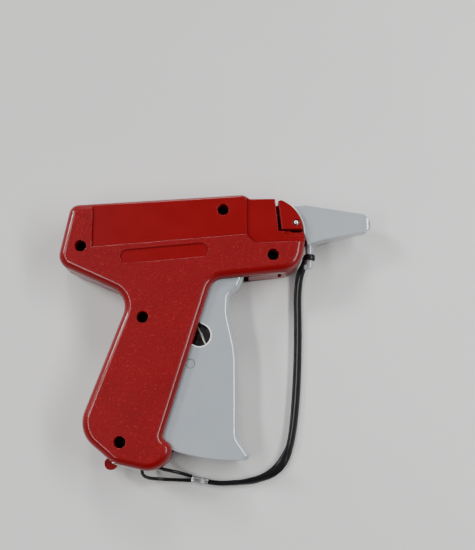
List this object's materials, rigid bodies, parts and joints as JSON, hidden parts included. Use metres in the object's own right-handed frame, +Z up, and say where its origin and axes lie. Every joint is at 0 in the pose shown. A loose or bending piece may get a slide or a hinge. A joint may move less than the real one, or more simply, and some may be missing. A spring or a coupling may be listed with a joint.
{
  "type": "garment tag attacher",
  "caption": "Pistol-shaped hand tool that pushes plastic tag fasteners through a hollow needle, with a long trigger, a pull-off needle cap and a strap.",
  "frame": {"origin": "on the resting face of the left half, directly under the trigger's pivot axis", "axes": "+X towards the needle, +Y from the handle up to the top of the tool, +Z up through its thickness as it lies on its left side"},
  "size_m": [0.151, 0.1393, 0.024],
  "materials": {
    "housing_plastic": "red moulded plastic, grained below and smooth on the panels",
    "trigger_plastic": "pale grey glossy moulded plastic",
    "steel": "plain bright steel",
    "screw_steel": "blackened steel",
    "strap_plastic": "glossy black",
    "crimp_metal": "pressed bright metal",
    "inner_plastic": "natural moulded plastic"
  },
  "bodies": {
    "housing": {"right_housing": "housing_plastic", "left_housing": "housing_plastic", "housing_screws": "screw_steel", "trigger_pivot_pin": "steel", "lever_pivot_pin": "steel", "feed_wheel_axle": "steel", "feed_pawl_pin": "steel", "needle": "steel", "needle_base": "inner_plastic", "cutter_blade": "steel", "lock_lever_pin": "steel", "return_spring": "steel", "pawl_spring": "steel", "lanyard_bar": "steel", "strap": "strap_plastic", "strap_crimp": "crimp_metal", "handle_loop": "strap_plastic"},
    "trigger": {"trigger": "trigger_plastic", "trigger_drive_pin": "steel"},
    "drive_lever": {"drive_lever": "steel"},
    "slider": {"slider": "inner_plastic", "slider_cross_pin": "steel", "push_rod": "steel"},
    "feed_wheel": {"feed_wheel": "inner_plastic"},
    "feed_pawl": {"feed_pawl": "inner_plastic"},
    "lock_lever": {"lock_lever": "housing_plastic"},
    "cap": {"needle_cap": "trigger_plastic", "cap_ring": "strap_plastic"}
  },
  "joints": [
    {"name": "trigger_pull", "type": "hinge", "parent": "housing", "child": "trigger", "pos_m": [0, 0, 0.012], "axis": [0, 0, -1], "range_deg": [0, 20], "stiffness_Nm_per_rad": 0.8, "springref_deg": -22.92, "deforming": ["return_spring"]},
    {"name": "lever_swing", "type": "hinge", "parent": "housing", "child": "drive_lever", "pos_m": [-0.0294, -0.0281, 0.012], "axis": [0, 0, -1], "range_deg": [0, 45.79]},
    {"name": "slider_slide", "type": "slide", "parent": "housing", "child": "slider", "axis": [1, 0, 0], "range_m": [0, 0.0381]},
    {"name": "feed_wheel_turn", "type": "hinge", "parent": "housing", "child": "feed_wheel", "pos_m": [0.0156, 0.0222, 0.0149], "axis": [0, 0, 1], "continuous": true},
    {"name": "feed_pawl_tilt", "type": "hinge", "parent": "housing", "child": "feed_pawl", "pos_m": [0.0046, 0.024, 0.0146], "axis": [0, 0, 1], "range_deg": [0, 8], "stiffness_Nm_per_rad": 0.002, "springref_deg": -11.46, "deforming": ["pawl_spring"]},
    {"name": "lock_lever_swing", "type": "hinge", "parent": "housing", "child": "lock_lever", "pos_m": [0.029, 0.0176, 0.0205], "axis": [0, 0, -1], "range_deg": [0, 55]},
    {"name": "cap_pull", "type": "slide", "parent": "housing", "child": "cap", "axis": [1, 0, 0], "range_m": [0, 0.042]}
  ],
  "couplings": [
    {"joint": "lever_swing", "follows": "trigger_pull", "ratio": 2.2891},
    {"joint": "slider_slide", "follows": "trigger_pull", "m_per_rad": 0.10911}
  ]
}
